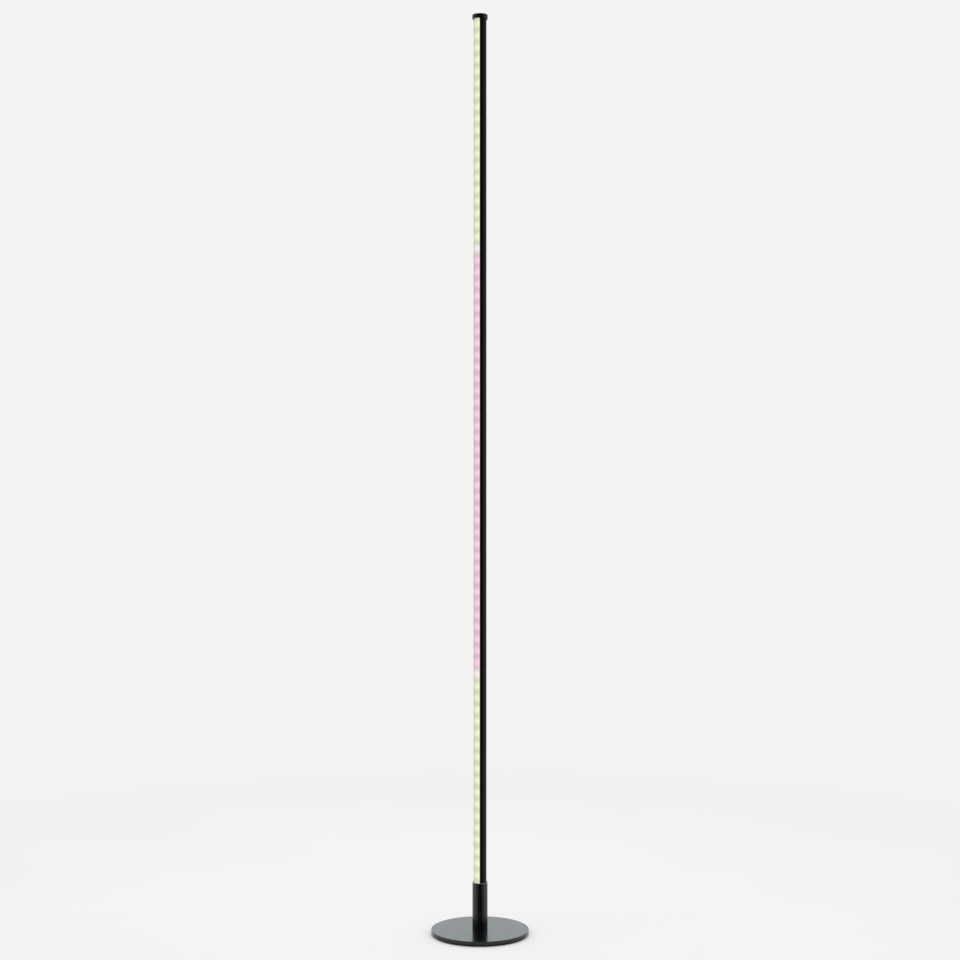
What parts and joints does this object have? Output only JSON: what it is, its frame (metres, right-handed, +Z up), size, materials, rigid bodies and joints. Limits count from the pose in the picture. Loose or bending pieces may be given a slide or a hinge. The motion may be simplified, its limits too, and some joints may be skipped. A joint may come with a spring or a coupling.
{
  "type": "corner floor lamp",
  "caption": "Slim round corner floor lamp: a pole that is half opal light diffuser and half black profile turns in a short sleeve on a flat round base.",
  "frame": {"origin": "centre of the base pad's underside, on the floor", "axes": "+Z up along the pole, -X the way the light shines at rest, +Y the side where the cord comes in"},
  "size_m": [0.138, 0.138, 1.3],
  "materials": {
    "powder_coat": "satin black powder coat with a fine grain",
    "pad_foam": "closed-cell foam, matt",
    "zinc_plate": "bright zinc plating",
    "turned_steel": "turned, bare",
    "black_rubber": "matt moulded rubber",
    "black_oxide": "black oxide",
    "black_anodised": "black anodised, with fine lines along the extrusion",
    "opal_diffuser": "opal, lit from behind",
    "black_plastic": "moulded, fine grain",
    "natural_nylon": "moulded nylon",
    "white_plastic": "moulded",
    "brass_pin": "bright",
    "lead_insulation": "white insulation",
    "tape": "double-sided adhesive tape",
    "strip_white": "white solder mask on a flexible circuit",
    "led_body": "white package with a clear round window",
    "ceramic": "fired ceramic"
  },
  "bodies": {
    "stand": {"base_plate": "powder_coat", "base_pad": "pad_foam", "fixing_screw": "zinc_plate", "sleeve": "powder_coat", "foot_boss": "turned_steel", "cord_grommet": "black_rubber", "retaining_screw": "black_oxide"},
    "pole": {"foot_plug": "natural_nylon", "drag_ring": "black_rubber", "foot_screw": "zinc_plate", "lead_socket": "white_plastic", "socket_contacts": "brass_pin", "strip_leads": "lead_insulation", "profile": "black_anodised", "diffuser": "opal_diffuser", "strip_tape": "tape", "led_strip": "strip_white", "led_packages": "led_body", "strip_capacitors": "ceramic", "top_cap": "black_plastic", "cap_screw": "black_oxide"}
  },
  "joints": [
    {"name": "pole_swivel", "type": "hinge", "parent": "stand", "child": "pole", "pos_m": [0, 0, 0.034], "axis": [0, 0, 1], "range_deg": [-165, 165]}
  ]
}
